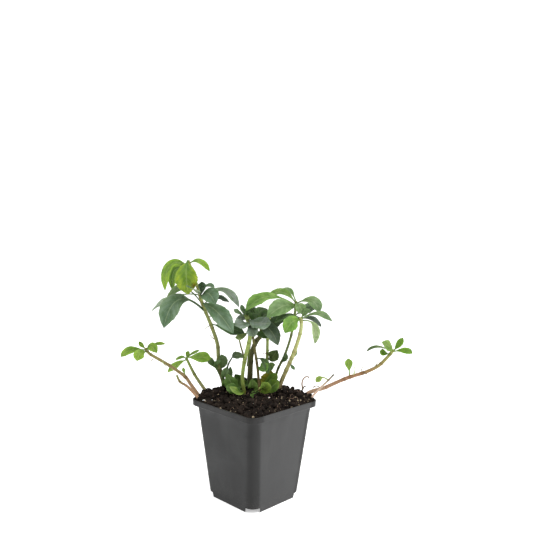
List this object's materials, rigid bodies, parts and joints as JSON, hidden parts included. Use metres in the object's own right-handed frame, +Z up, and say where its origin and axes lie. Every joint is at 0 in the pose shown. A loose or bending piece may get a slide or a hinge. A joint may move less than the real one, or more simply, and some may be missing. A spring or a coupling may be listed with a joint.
{
  "type": "potted pachysandra plant",
  "caption": "Rooted groundcover plant with whorls of toothed oval leaves on upright and trailing stems, in a square tapered nursery pot filled with soil.",
  "frame": {"origin": "centre of the pot's base, on the surface it stands on", "axes": "+Z up; the pot's walls are square to X and Y; the plant's widest spread runs from the -X -Y corner to the +X +Y corner"},
  "size_m": [0.2076, 0.1943, 0.23],
  "materials": {
    "pot_plastic": "satin",
    "potting_soil": "matte",
    "olive_stem": "matte",
    "green_stem": "matte",
    "pale_stem": "matte",
    "brown_bark": "matte",
    "runner_bark": "matte",
    "dark_leaf": "satin",
    "mid_leaf": "satin",
    "light_leaf": "satin"
  },
  "bodies": {
    "root": {"pot": "pot_plastic", "soil": "potting_soil", "tall_left_stem": "olive_stem", "centre_stem": "green_stem", "brown_stem": "brown_bark", "thin_stem": "olive_stem", "back_stem": "green_stem", "right_thin_stem": "green_stem", "right_main_stem": "pale_stem", "left_runner": "runner_bark", "left_twig": "runner_bark", "left_shoot": "green_stem", "right_runner": "runner_bark", "right_twig": "runner_bark", "top_leaf_front": "light_leaf", "top_leaf_right": "light_leaf", "top_leaf_left": "light_leaf", "top_leaf_left_back": "light_leaf", "mid_leaf_long_left": "dark_leaf", "mid_leaf_left_back": "dark_leaf", "mid_leaf_far_left": "dark_leaf", "mid_leaf_front": "dark_leaf", "mid_leaf_front_right": "dark_leaf", "mid_leaf_long_right": "dark_leaf", "mid_leaf_right_back": "dark_leaf", "lower_leaf_right": "dark_leaf", "centre_leaf_front_left": "dark_leaf", "centre_leaf_front_right": "dark_leaf", "rosette_leaf_right": "mid_leaf", "centre_leaf_down": "dark_leaf", "centre_leaf_under": "dark_leaf", "right_leaf_upper_left": "mid_leaf", "right_leaf_upper_thin": "mid_leaf", "right_leaf_front": "mid_leaf", "right_leaf_right_upper": "mid_leaf", "right_leaf_grey": "mid_leaf", "right_leaf_long": "mid_leaf", "right_leaf_dark_back": "dark_leaf", "right_leaf_hanging": "light_leaf", "right_leaf_dark_left": "dark_leaf", "right_leaf_light": "light_leaf", "right_leaf_low_left": "dark_leaf", "oval_leaf": "dark_leaf", "low_leaf_mid": "light_leaf", "yellow_leaf_back": "light_leaf", "yellow_leaf_right": "light_leaf", "yellow_leaf_front": "light_leaf", "front_oval_leaf": "light_leaf", "clump_leaf_left": "mid_leaf", "clump_leaf_back": "dark_leaf", "curled_leaf": "mid_leaf", "stem_leaf_right": "mid_leaf", "left_tip_leaf_far": "light_leaf", "left_tip_leaf_front": "light_leaf", "left_tip_leaf_right": "light_leaf", "shoot_leaf_right": "light_leaf", "shoot_leaf_left": "mid_leaf", "right_tip_leaf_up": "light_leaf", "right_tip_leaf_right": "light_leaf", "right_tip_leaf_pale": "light_leaf"}
  },
  "joints": []
}
